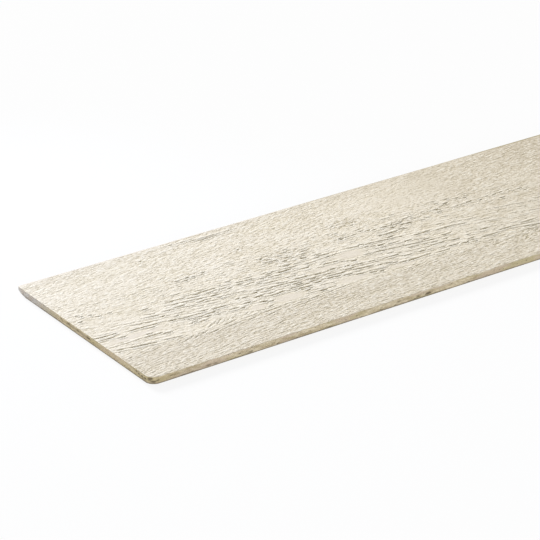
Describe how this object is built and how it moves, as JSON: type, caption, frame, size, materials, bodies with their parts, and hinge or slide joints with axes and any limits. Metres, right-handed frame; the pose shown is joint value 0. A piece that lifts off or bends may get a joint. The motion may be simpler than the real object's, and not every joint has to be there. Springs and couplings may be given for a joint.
{
  "type": "soffit panel",
  "caption": "Long flat rectangular engineered-wood board with a cedar-grain embossed, primed face; nailed up under a roof overhang to close the eaves.",
  "frame": {"origin": "middle of the back face, on the floor that the panel lies on", "axes": "+X along the length, +Y across the width, +Z out of the embossed show face"},
  "size_m": [4.8736, 0.3032, 0.0095],
  "materials": {
    "primed_strand_wood": "matte"
  },
  "bodies": {
    "root": {"soffit_panel": "primed_strand_wood"}
  },
  "joints": []
}
